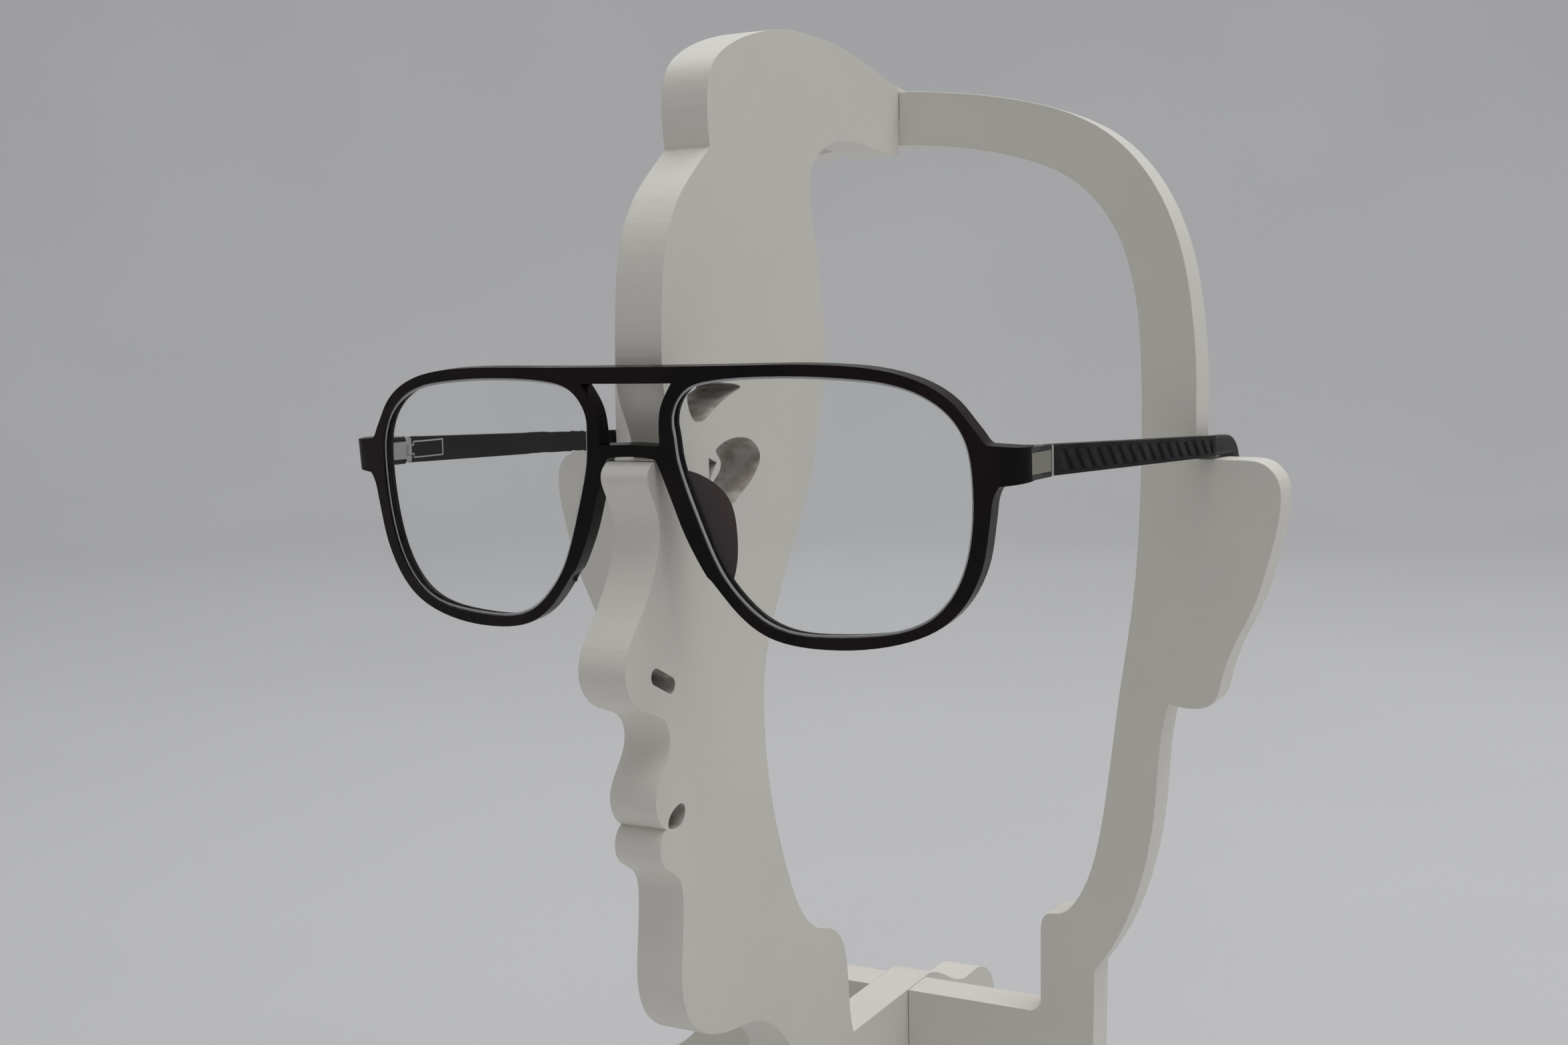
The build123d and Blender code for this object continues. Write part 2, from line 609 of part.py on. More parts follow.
with BuildPart() as temple_arm:
    with BuildSketch(temple_plane):
        with BuildLine():
            Polyline(*temple_side(arm_u, sleeve_u), close=True)
        make_face()
    extrude(amount=temple_t)
    with BuildSketch(tongue_plane):
        with Locations((sleeve_u + tongue_l / 2, sleeve_z)):
            Rectangle(tongue_l, tongue_h)
    extrude(amount=tongue_t / 2, both=True)
    with BuildSketch(outer_side):
        with BuildLine():
            Polyline(*temple_side(inlay_start, inlay_back_u, inlay_margin), close=True)
        make_face()
    extrude(amount=-inlay_t, mode=Mode.SUBTRACT)
    with BuildSketch(inner_leaf):
        with Locations((case_end / 2, case_z)):
            Rectangle(case_end + 2 * fit_gap, leaf_h + 2 * fit_gap)
    extrude(amount=leaf_t + fit_gap, mode=Mode.SUBTRACT)
    with BuildSketch(Plane.XY.offset(lug_z - temple_h)):
        with Locations((hinge_x, hinge_y)):
            Circle(knuckle_r + fork_gap)
    extrude(amount=2 * temple_h, mode=Mode.SUBTRACT)

with BuildPart() as temple_inlay:
    with BuildSketch(outer_side):
        with BuildLine():
            Polyline(
                *temple_side(inlay_start + fit_gap, inlay_back_u - fit_gap, inlay_margin + fit_gap),
                close=True,
            )
        make_face()
    extrude(amount=-(inlay_t - fit_gap))

with BuildPart() as temple_collar:
    with BuildSketch(temple_plane):
        with BuildLine():
            Polyline(*temple_side(seam_gap, arm_u), close=True)
        make_face()
    extrude(amount=temple_t)
    with BuildSketch(Plane.XY.offset(lug_z - temple_h)):
        with Locations((hinge_x, hinge_y)):
            Circle(knuckle_r + fork_gap)
        with Locations((hinge_x - temple_t / 2, hinge_y)):
            Rectangle(temple_t, 4 * collar_t)
    extrude(amount=2 * temple_h, mode=Mode.SUBTRACT)

# ---- hinge on the temple: the middle knuckle and the case of the spring ----
with BuildPart() as temple_hinge:
    with BuildSketch(inner_leaf):
        with Locations(((case_start + case_end) / 2, case_z)):
            Rectangle(spring_case_l, leaf_h)
    extrude(amount=leaf_t)
    with BuildSketch(inner_leaf):
        with Locations((case_start / 2, lug_z)):
            Rectangle(case_start, knuckle_h)
    extrude(amount=leaf_t)
    with BuildSketch(Plane.XY.offset(lug_z)):
        with Locations((hinge_x, hinge_y)):
            Circle(knuckle_r)
    extrude(amount=knuckle_h / 2, both=True)
    with BuildSketch(Plane.XY.offset(lug_z)):
        with Locations((hinge_x, hinge_y)):
            Circle(pin_r + knuckle_gap)
    extrude(amount=knuckle_h / 2, both=True, mode=Mode.SUBTRACT)

# ---- tip: a sleeve over the arm's end that bends down behind the ear ----
turn = radians(tip_angle)
bend = (bend_u, ear_low)
tip_low = (bend[0] + tip_drop * cos(turn), bend[1] - tip_drop * sin(turn))
tip_back = (tip_low[0] + temple_h_ear * sin(turn), tip_low[1] + temple_h_ear * cos(turn))
shoulder_u = bend[0] + temple_h_ear * tan(turn / 2)

with BuildPart() as temple_tip:
    with BuildSketch(temple_plane):
        with BuildLine():
            FilletPolyline(
                (sleeve_u, temple_low(sleeve_u)), (ear_u, ear_low), bend, tip_low,
                radius=[0.1, tip_bend_r],
            )
            FilletPolyline(
                tip_low, tip_back, (shoulder_u, ear_low + temple_h_ear),
                (sleeve_u, temple_high(sleeve_u)),
                radius=[temple_h_ear / 3, tip_bend_r + temple_h_ear],
            )
            Line((sleeve_u, temple_high(sleeve_u)), (sleeve_u, temple_low(sleeve_u)))
        make_face()
    extrude(amount=temple_t)
    with BuildSketch(tongue_plane):
        with Locations((sleeve_u + (tongue_l + fit_gap) / 2, sleeve_z)):
            Rectangle(tongue_l + fit_gap, tongue_h + 2 * fit_gap)
    extrude(amount=tongue_t / 2 + fit_gap, both=True, mode=Mode.SUBTRACT)

write(front_frame.part, "front_frame")
write_pair(lens.part.rotate(tilt_axis, front_tilt), "lens")
write_pair(nose_pad.part.rotate(tilt_axis, front_tilt), "nose_pad")
write_pair(side_plate.part, "side_plate")
write_pair(front_hinge.part, "front_hinge")
write_pair(hinge_screw.part, "hinge_screw")
write_pair(temple_arm.part, "temple_arm")
write_pair(temple_collar.part, "temple_collar")
write_pair(temple_hinge.part, "temple_hinge")
write_pair(temple_inlay.part, "temple_inlay")
write_pair(temple_tip.part, "temple_tip")
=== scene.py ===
"""Cut-out head display stand wearing a pair of double-bridge eyeglasses.

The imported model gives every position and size. The classes below dress its two painted boards and
remake the pieces of the eyeglasses with rounded edges, ribs, bevels and finishes. Lengths are in metres.
"""

from __future__ import annotations

import logging
import math
from dataclasses import dataclass
from enum import Enum
from typing import Callable, Iterable

import bmesh
import bpy
from mathutils import Matrix, Vector
from mathutils.bvhtree import BVHTree

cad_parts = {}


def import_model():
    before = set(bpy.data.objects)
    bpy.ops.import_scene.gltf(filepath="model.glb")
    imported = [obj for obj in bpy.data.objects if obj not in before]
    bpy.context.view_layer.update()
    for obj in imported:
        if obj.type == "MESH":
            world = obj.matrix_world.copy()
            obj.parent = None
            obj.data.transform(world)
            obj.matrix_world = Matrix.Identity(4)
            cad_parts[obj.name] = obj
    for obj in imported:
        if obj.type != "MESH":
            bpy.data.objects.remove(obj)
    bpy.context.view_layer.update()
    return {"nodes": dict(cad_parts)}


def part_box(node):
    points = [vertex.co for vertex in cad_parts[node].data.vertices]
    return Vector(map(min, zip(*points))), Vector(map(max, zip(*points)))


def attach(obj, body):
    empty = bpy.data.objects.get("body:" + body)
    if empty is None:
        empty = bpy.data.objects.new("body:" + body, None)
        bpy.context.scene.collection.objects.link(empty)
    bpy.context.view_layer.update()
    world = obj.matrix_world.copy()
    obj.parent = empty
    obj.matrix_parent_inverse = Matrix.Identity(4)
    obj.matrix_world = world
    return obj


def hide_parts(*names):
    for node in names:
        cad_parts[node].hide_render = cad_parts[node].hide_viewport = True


LOG = logging.getLogger("eyeglasses_stand")
MM = 0.001
Colour = tuple[float, float, float]
EdgeTest = Callable[[bmesh.types.BMEdge], bool]


class Body(Enum):
    """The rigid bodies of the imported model."""

    STAND = "stand"
    FRONT = "glasses_front"


class Side(Enum):
    """The wearer's two sides."""

    LEFT = "left"
    RIGHT = "right"

    @property
    def sign(self) -> int:
        """+1 towards +X on the left, -1 on the right."""
        return 1 if self is Side.LEFT else -1

    @property
    def temple(self) -> str:
        """The body that this side's temple belongs to."""
        return f"{self.value}_temple"

    def node(self, piece: str) -> str:
        """The name of this side's node of a piece."""
        return f"{piece}_{self.value}"


class Slot(Enum):
    """The record's material slots."""

    BOARD = "painted_board"
    FRONT = "front_acetate"
    LENS = "clear_lens"
    METAL = "satin_metal"
    HINGE = "hinge_metal"
    TEMPLE = "temple_black"
    INLAY = "ribbed_inlay"
    TIP = "tip_grey"


# ---- shader wiring ----


class Wiring:
    """Adds and joins the nodes of one shader tree."""

    def __init__(self, tree: bpy.types.NodeTree) -> None:
        """Keeps the tree that the nodes go into."""
        self.tree = tree

    def add(self, kind: str, sockets: dict | None = None, **settings: object) -> bpy.types.Node:
        """Adds a node.

        Args:
            kind: The node's type, without "ShaderNode".
            sockets: Input name or number to a value, or to an output socket to join to it.
            settings: Properties of the node itself.

        Returns:
            The new node.
        """
        node = self.tree.nodes.new("ShaderNode" + kind)
        for name, value in settings.items():
            setattr(node, name, value)
        for name, value in (sockets or {}).items():
            if isinstance(value, bpy.types.NodeSocket):
                self.tree.links.new(value, node.inputs[name])
            else:
                node.inputs[name].default_value = value
        return node

    def join(self, source: bpy.types.NodeSocket, target: bpy.types.NodeSocket) -> None:
        """Joins an output socket to an input socket."""
        self.tree.links.new(source, target)

    def maths(self, operation: str, *values: object) -> bpy.types.NodeSocket:
        """Adds a Math node and returns its output."""
        return self.add("Math", dict(enumerate(values)), operation=operation).outputs[0]

    def vectors(self, operation: str, *values: object) -> bpy.types.bpy_prop_collection:
        """Adds a Vector Math node and returns its outputs."""
        return self.add("VectorMath", dict(enumerate(values)), operation=operation).outputs

    def spread(self, value: object, low: float, high: float, to_low: float, to_high: float) -> object:
        """Maps a value to another range, smoothly and clamped.

        Args:
            value: The value or the socket it comes from.
            low: Where the first range starts.
            high: Where it ends.
            to_low: What low becomes.
            to_high: What high becomes.

        Returns:
            The output socket.
        """
        sockets = {"Value": value, "From Min": low, "From Max": high, "To Min": to_low, "To Max": to_high}
        return self.add("MapRange", sockets, interpolation_type="SMOOTHSTEP").outputs["Result"]

    def blend(self, amount: object, first: object, second: object) -> bpy.types.NodeSocket:
        """Mixes two colours.

        Args:
            amount: The share of the second colour.
            first: The first colour or its socket.
            second: The second colour or its socket.

        Returns:
            The output socket.
        """
        node = self.add("Mix", data_type="RGBA")
        for name, value in ((0, amount), (6, first), (7, second)):
            if isinstance(value, bpy.types.NodeSocket):
                self.join(value, node.inputs[name])
            else:
                node.inputs[name].default_value = value
        return node.outputs[2]


class Effects:
    """The shader node groups that several materials share, each built once."""

    def __init__(self) -> None:
        """Builds the four groups."""
        self.paint = self._paint()
        self.cut_edge = self._cut_edge()
        self.moulded = self._moulded()
        self.brushed = self._brushed()

    @staticmethod
    def _new(name: str, inputs: dict[str, float | Vector], outputs: Iterable[str]) -> tuple:
        """Starts a node group.

        Args:
            name: The group's name.
            inputs: Each input's name and default; a Vector makes a vector socket.
            outputs: The names of its value outputs.

        Returns:
            The group, its wiring, its input node and its output node.
        """
        group = bpy.data.node_groups.new(name, "ShaderNodeTree")
        for key, default in inputs.items():
            kind = "NodeSocketVector" if isinstance(default, Vector) else "NodeSocketFloat"
            socket = group.interface.new_socket(key, in_out="INPUT", socket_type=kind)
            socket.default_value = default
        for key in outputs:
            group.interface.new_socket(key, in_out="OUTPUT", socket_type="NodeSocketFloat")
        wiring = Wiring(group)
        entry = group.nodes.new("NodeGroupInput")
        leave = group.nodes.new("NodeGroupOutput")
        return group, wiring, entry, leave

    @staticmethod
    def _place(wiring: Wiring, scale: Vector) -> bpy.types.NodeSocket:
        """Adds object coordinates in millimetres.

        Args:
            wiring: The tree they go into.
            scale: How much finer the pattern is along each axis.

        Returns:
            The output socket.
        """
        coordinates = wiring.add("TexCoord").outputs["Object"]
        sockets = {"Vector": coordinates, "Scale": scale / MM}
        return wiring.add("Mapping", sockets).outputs["Vector"]

    def _paint(self) -> bpy.types.NodeTree:
        """Rolled paint: orange peel, broad uneven patches and a few specks of dust."""
        group, wiring, entry, leave = self._new(
            "rolled_paint", {"Peel": 1.3, "Patch": 0.035, "Speck": 0.045}, ("Height", "Patch", "Speck")
        )
        place = self._place(wiring, Vector((1, 1, 1)))
        peel = wiring.add("TexNoise", {"Vector": place, "Scale": entry.outputs["Peel"], "Detail": 3.0})
        wave = wiring.add("TexNoise", {"Vector": place, "Scale": entry.outputs["Patch"], "Detail": 4.0})
        cells = wiring.add("TexVoronoi", {"Vector": place, "Scale": entry.outputs["Speck"]})
        near = wiring.spread(cells.outputs["Distance"], 0.006, 0.016, 1.0, 0.0)
        wobble = wiring.maths("MULTIPLY", wave.outputs["Fac"], 0.8)
        wiring.join(wiring.maths("ADD", peel.outputs["Fac"], wobble), leave.inputs["Height"])
        wiring.join(wiring.spread(wave.outputs["Fac"], 0.35, 0.65, 0.0, 1.0), leave.inputs["Patch"])
        wiring.join(near, leave.inputs["Speck"])
        return group

    def _cut_edge(self) -> bpy.types.NodeTree:
        """The sawn edge of a board: a mask of its narrow sides, and marks across the thickness."""
        inputs = {"Thickness": Vector((1, 0, 0))}
        group, wiring, entry, leave = self._new("cut_edge", inputs, ("Edge", "Marks"))
        thickness = entry.outputs["Thickness"]
        coordinates = wiring.add("TexCoord").outputs
        facing = wiring.vectors("DOT_PRODUCT", coordinates["Normal"], thickness)["Value"]
        edge = wiring.spread(wiring.maths("ABSOLUTE", facing), 0.25, 0.75, 1.0, 0.0)
        along = wiring.vectors("MULTIPLY", coordinates["Object"], thickness)["Vector"]
        across = wiring.vectors("SUBTRACT", coordinates["Object"], along)["Vector"]
        place = wiring.add("Mapping", {"Vector": across, "Scale": Vector((1, 1, 1)) / MM}).outputs["Vector"]
        marks = wiring.add("TexNoise", {"Vector": place, "Scale": 0.9, "Detail": 5.0, "Roughness": 0.6})
        wiring.join(edge, leave.inputs["Edge"])
        wiring.join(wiring.maths("MULTIPLY", marks.outputs["Fac"], edge), leave.inputs["Marks"])
        return group

    def _moulded(self) -> bpy.types.NodeTree:
        """Moulded plastic: a faint grain, a slow change of tone and fine handling marks."""
        inputs = {"Grain": 6.0, "Tone": 0.07}
        group, wiring, entry, leave = self._new("moulded", inputs, ("Height", "Tone", "Wear"))
        place = self._place(wiring, Vector((1, 1, 1)))
        grain = wiring.add("TexNoise", {"Vector": place, "Scale": entry.outputs["Grain"], "Detail": 2.0})
        tone = wiring.add("TexNoise", {"Vector": place, "Scale": entry.outputs["Tone"], "Detail": 2.0})
        wear = wiring.add("TexNoise", {"Vector": place, "Scale": 0.12, "Detail": 3.0})
        wiring.join(grain.outputs["Fac"], leave.inputs["Height"])
        wiring.join(wiring.spread(tone.outputs["Fac"], 0.4, 0.62, 0.0, 1.0), leave.inputs["Tone"])
        wiring.join(wear.outputs["Fac"], leave.inputs["Wear"])
        return group

    def _brushed(self) -> bpy.types.NodeTree:
        """Brushed metal: fine lines along the temple."""
        group, wiring, entry, leave = self._new("brushed", {"Lines": 9.0}, ("Height", "Wear"))
        place = self._place(wiring, Vector((1, 0.04, 1)))
        lines = wiring.add("TexNoise", {"Vector": place, "Scale": entry.outputs["Lines"], "Detail": 3.0})
        smear = wiring.add("TexNoise", {"Vector": place, "Scale": 0.8, "Detail": 3.0})
        wiring.join(lines.outputs["Fac"], leave.inputs["Height"])
        wiring.join(smear.outputs["Fac"], leave.inputs["Wear"])
        return group


# ---- finishes ----


def opaque(colour: Colour) -> tuple[float, float, float, float]:
    """The colour with full alpha."""
    return (*colour, 1.0)


@dataclass(frozen=True)
class Finish:
    """What every finish has: a name and a shader with its normal."""

    name: str

    def start(self, sockets: dict) -> tuple[bpy.types.Material, Wiring, bpy.types.Node]:
        """Makes an empty material with a Principled shader.

        Args:
            sockets: Values that are the same all over the surface, on the shader's own sockets.

        Returns:
            The material, its wiring and the shader.
        """
        material = bpy.data.materials.new(self.name)
        material.use_nodes = True
        material.node_tree.nodes.clear()
        wiring = Wiring(material.node_tree)
        shader = wiring.add("BsdfPrincipled", sockets)
        wiring.add("OutputMaterial", {"Surface": shader.outputs["BSDF"]})
        return material, wiring, shader

    @staticmethod
    def group(wiring: Wiring, tree: bpy.types.NodeTree, **values: object) -> bpy.types.Node:
        """Places a shared node group.

        Args:
            wiring: The material's wiring.
            tree: The group.
            values: The value of each input that isn't left at its default.

        Returns:
            The group's node.
        """
        node = wiring.add("Group", node_tree=tree)
        for name, value in values.items():
            node.inputs[name].default_value = value
        return node

    @staticmethod
    def relief(wiring: Wiring, shader: bpy.types.Node, height: object, depth: float) -> None:
        """Feeds a height to the shader's normal.

        Args:
            wiring: The material's wiring.
            shader: The shader.
            height: The socket of the height, from 0 to 1.
            depth: What a height of 1 stands for, in metres.
        """
        bump = wiring.add("Bump", {"Height": height, "Distance": depth, "Strength": 1.0})
        wiring.join(bump.outputs["Normal"], shader.inputs["Normal"])


@dataclass(frozen=True)
class BoardPaint(Finish):
    """Warm white rolled paint on a sawn board."""

    colour: Colour = (0.79, 0.76, 0.69)
    patch: Colour = (0.765, 0.738, 0.675)
    speck: Colour = (0.42, 0.38, 0.33)
    edge: Colour = (0.82, 0.79, 0.72)
    roughness: float = 0.5
    thickness: tuple[float, float, float] = (1.0, 0.0, 0.0)

    def make(self, effects: Effects) -> bpy.types.Material:
        """Builds the material.

        Args:
            effects: The shared node groups.

        Returns:
            The new material.
        """
        material, wiring, shader = self.start({"Coat Weight": 0.06, "Coat Roughness": 0.35})
        paint = self.group(wiring, effects.paint)
        edge = self.group(wiring, effects.cut_edge, Thickness=self.thickness)
        base = wiring.blend(paint.outputs["Patch"], opaque(self.colour), opaque(self.patch))
        sides = wiring.blend(edge.outputs["Edge"], base, opaque(self.edge))
        marked = wiring.blend(paint.outputs["Speck"], sides, opaque(self.speck))
        wiring.join(marked, shader.inputs["Base Color"])
        dull = wiring.spread(paint.outputs["Patch"], 0.0, 1.0, self.roughness - 0.05, self.roughness + 0.06)
        gloss = wiring.maths("MULTIPLY", edge.outputs["Edge"], 0.1)
        wiring.join(wiring.maths("SUBTRACT", dull, gloss), shader.inputs["Roughness"])
        skin = wiring.maths("MULTIPLY", paint.outputs["Height"], 0.35)
        height = wiring.maths("ADD", skin, edge.outputs["Marks"])
        self.relief(wiring, shader, height, 0.06 * MM)
        return material


@dataclass(frozen=True)
class ThinPaintAndShade(Finish):
    """The walls of the small cut-outs, thinly painted over brown board, with a greyer, darker tone that is
    painted shade inside the small holes.
    """

    # The grey is darker than the board's paint as painted shade in the small holes; the brown is the board
    # under the paint.
    colour: Colour = (0.60, 0.585, 0.55)
    board: Colour = (0.36, 0.315, 0.26)

    def make(self, effects: Effects) -> bpy.types.Material:
        """Builds the material.

        Args:
            effects: The shared node groups.

        Returns:
            The new material.
        """
        material, wiring, shader = self.start({})
        paint = self.group(wiring, effects.paint, Patch=0.25, Peel=1.6)
        colour = wiring.blend(paint.outputs["Patch"], opaque(self.colour), opaque(self.board))
        wiring.join(colour, shader.inputs["Base Color"])
        rough = wiring.spread(paint.outputs["Patch"], 0.0, 1.0, 0.6, 0.85)
        wiring.join(rough, shader.inputs["Roughness"])
        self.relief(wiring, shader, paint.outputs["Height"], 0.12 * MM)
        return material


@dataclass(frozen=True)
class Moulded(Finish):
    """Moulded plastic or acetate with a slow change of tone."""

    colour: Colour = (0.02, 0.02, 0.02)
    deep: Colour = (0.015, 0.015, 0.015)
    roughness: float = 0.3
    grain: float = 6.0
    depth: float = 0.006
    shine: float = 0.28
    coat: float = 0.0
    glow: float = 0.0
    glow_colour: Colour = (0.3, 0.05, 0.06)

    def make(self, effects: Effects) -> bpy.types.Material:
        """Builds the material.

        Args:
            effects: The shared node groups.

        Returns:
            The new material.
        """
        sockets = {"Coat Weight": self.coat, "Coat Roughness": 0.12, "Specular IOR Level": self.shine}
        sockets |= {"Subsurface Weight": self.glow, "Subsurface Scale": 1.5 * MM}
        sockets["Subsurface Radius"] = self.glow_colour
        material, wiring, shader = self.start(sockets)
        skin = self.group(wiring, effects.moulded, Grain=self.grain)
        colour = wiring.blend(skin.outputs["Tone"], opaque(self.colour), opaque(self.deep))
        wiring.join(colour, shader.inputs["Base Color"])
        rough = wiring.spread(skin.outputs["Wear"], 0.3, 0.7, self.roughness - 0.05, self.roughness + 0.07)
        wiring.join(rough, shader.inputs["Roughness"])
        self.relief(wiring, shader, skin.outputs["Height"], self.depth * MM)
        return material


@dataclass(frozen=True)
class SatinMetal(Finish):
    """Brushed metal."""

    colour: Colour = (0.62, 0.60, 0.55)
    dull: Colour = (0.50, 0.485, 0.45)
    roughness: float = 0.3

    def make(self, effects: Effects) -> bpy.types.Material:
        """Builds the material.

        Args:
            effects: The shared node groups.

        Returns:
            The new material.
        """
        material, wiring, shader = self.start({"Metallic": 1.0})
        lines = self.group(wiring, effects.brushed)
        colour = wiring.blend(lines.outputs["Wear"], opaque(self.colour), opaque(self.dull))
        wiring.join(colour, shader.inputs["Base Color"])
        rough = wiring.spread(lines.outputs["Wear"], 0.3, 0.7, self.roughness - 0.06, self.roughness + 0.08)
        wiring.join(rough, shader.inputs["Roughness"])
        self.relief(wiring, shader, lines.outputs["Height"], 0.004 * MM)
        return material


@dataclass(frozen=True)
class ClearLens(Finish):
    """Clear lens with an anti-glare coat."""

    tint: Colour = (0.985, 0.992, 0.99)
    smear: Colour = (0.97, 0.98, 0.985)

    def make(self, effects: Effects) -> bpy.types.Material:
        """Builds the material.

        Args:
            effects: The shared node groups.

        Returns:
            The new material.
        """
        sockets = {"Transmission Weight": 1.0, "IOR": 1.05, "Roughness": 0.0}
        sockets |= {"Coat Weight": 0.3, "Coat Roughness": 0.02}
        material, wiring, shader = self.start(sockets)
        haze = self.group(wiring, effects.moulded, Tone=0.04)
        colour = wiring.blend(haze.outputs["Tone"], opaque(self.tint), opaque(self.smear))
        wiring.join(colour, shader.inputs["Base Color"])
        return material


@dataclass(frozen=True)
class PaintedLensHighlight(Finish):
    """A flat ring round a lens's front face, light grey as a painted highlight for the bright backdrop seen
    through the lens's edge.
    """

    # Light grey painted highlight; the noise below only varies its tone, roughness and relief.
    colour: Colour = (0.78, 0.79, 0.80)
    dim_highlight: Colour = (0.62, 0.62, 0.63)

    def make(self, effects: Effects) -> bpy.types.Material:
        """Builds the material.

        Args:
            effects: The shared node groups.

        Returns:
            The new material.
        """
        material, wiring, shader = self.start({"IOR": 1.5})
        highlight_grain = self.group(wiring, effects.moulded, Grain=9.0)
        colour = wiring.blend(highlight_grain.outputs["Wear"], opaque(self.colour), opaque(self.dim_highlight))
        wiring.join(colour, shader.inputs["Base Color"])
        wiring.join(wiring.spread(highlight_grain.outputs["Wear"], 0.3, 0.7, 0.4, 0.55), shader.inputs["Roughness"])
        self.relief(wiring, shader, highlight_grain.outputs["Height"], 0.01 * MM)
        return material


@dataclass(frozen=True)
class Backdrop(Finish):
    """Pale matt paper."""

    colour: Colour = (0.60, 0.60, 0.605)
    unevenness: float = 1.03

    def make(self, effects: Effects) -> bpy.types.Material:
        """Builds the material.

        Args:
            effects: The shared node groups.

        Returns:
            The new material.
        """
        material, wiring, shader = self.start({"Roughness": 0.95})
        skin = self.group(wiring, effects.moulded, Tone=0.002)
        lighter = tuple(self.unevenness * part for part in self.colour)
        colour = wiring.blend(skin.outputs["Tone"], opaque(self.colour), opaque(lighter))
        wiring.join(colour, shader.inputs["Base Color"])
        return material


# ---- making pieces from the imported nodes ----


class Bench:
    """Makes finished pieces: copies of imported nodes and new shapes, in the scene and on their bodies."""

    merge = 0.02 * MM

    def __init__(self, nodes: dict[str, bpy.types.Object]) -> None:
        """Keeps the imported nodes."""
        self.nodes = nodes

    def copy(self, node: str, merge: float | None = None, flat: float = 0.4) -> bmesh.types.BMesh:
        """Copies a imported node's mesh, closes it and joins its flat triangles.

        Args:
            node: The node's name.
            merge: Distance under which corners become one.
            flat: Angle in degrees under which triangles become one face.

        Returns:
            The copy as a bmesh.
        """
        mesh = bmesh.new()
        mesh.from_mesh(self.nodes[node].data)
        bmesh.ops.remove_doubles(mesh, verts=mesh.verts, dist=merge or self.merge)
        bmesh.ops.dissolve_limit(mesh, angle_limit=math.radians(flat), verts=mesh.verts, edges=mesh.edges)
        for face in mesh.faces:
            face.material_index = 0
        return mesh

    def surface(self, node: str) -> BVHTree:
        """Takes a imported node's surface, for measuring how near something is.

        Args:
            node: The node's name.

        Returns:
            The surface as a search tree.
        """
        mesh = bmesh.new()
        mesh.from_mesh(self.nodes[node].data)
        tree = BVHTree.FromBMesh(mesh)
        mesh.free()
        return tree

    @staticmethod
    def corners(mesh: bmesh.types.BMesh, angle: float = 35.0) -> list[bmesh.types.BMEdge]:
        """The edges where the surface turns by more than angle degrees."""
        limit = math.radians(angle)
        return [e for e in mesh.edges if len(e.link_faces) == 2 and e.calc_face_angle() > limit]

    def soften(
        self, mesh: bmesh.types.BMesh, radius: float, steps: int, wanted: EdgeTest | None = None
    ) -> None:
        """Bevels the mesh's corners.

        Args:
            mesh: The bmesh to change.
            radius: Width of the bevel.
            steps: Number of faces across it.
            wanted: Says whether an edge is bevelled; all corners are if it is left out.
        """
        edges = [e for e in self.corners(mesh) if wanted is None or wanted(e)]
        LOG.info("bevel of %.2f mm on %d edges", radius / MM, len(edges))
        bmesh.ops.bevel(
            mesh, geom=edges, offset=radius, offset_type="OFFSET", segments=steps, profile=0.5,
            affect="EDGES", clamp_overlap=True, loop_slide=False, material=-1,
        )

    def place(
        self, mesh: bmesh.types.BMesh, name: str, body: str, slot: Slot, finishes: list[bpy.types.Material],
        stands_for: tuple[str, ...] = (), smooth: float = 38.0,
    ) -> bpy.types.Object:
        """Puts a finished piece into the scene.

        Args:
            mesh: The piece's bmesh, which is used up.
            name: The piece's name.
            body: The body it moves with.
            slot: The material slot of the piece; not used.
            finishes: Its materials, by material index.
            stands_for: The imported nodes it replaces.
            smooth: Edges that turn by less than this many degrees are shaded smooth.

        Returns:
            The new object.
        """
        data = bpy.data.meshes.new(name)
        mesh.to_mesh(data)
        mesh.free()
        for finish in finishes:
            data.materials.append(finish)
        data.shade_smooth()
        data.set_sharp_from_angle(angle=math.radians(smooth))
        piece = bpy.data.objects.new(name, data)
        bpy.context.scene.collection.objects.link(piece)
        evened = piece.modifiers.new("evened", "WEIGHTED_NORMAL")
        evened.keep_sharp = True
        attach(piece, body)
        if stands_for:
            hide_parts(*stands_for)
        LOG.info("%s: %d faces on %s", name, len(data.polygons), body)
        return piece


# ---- the stand ----


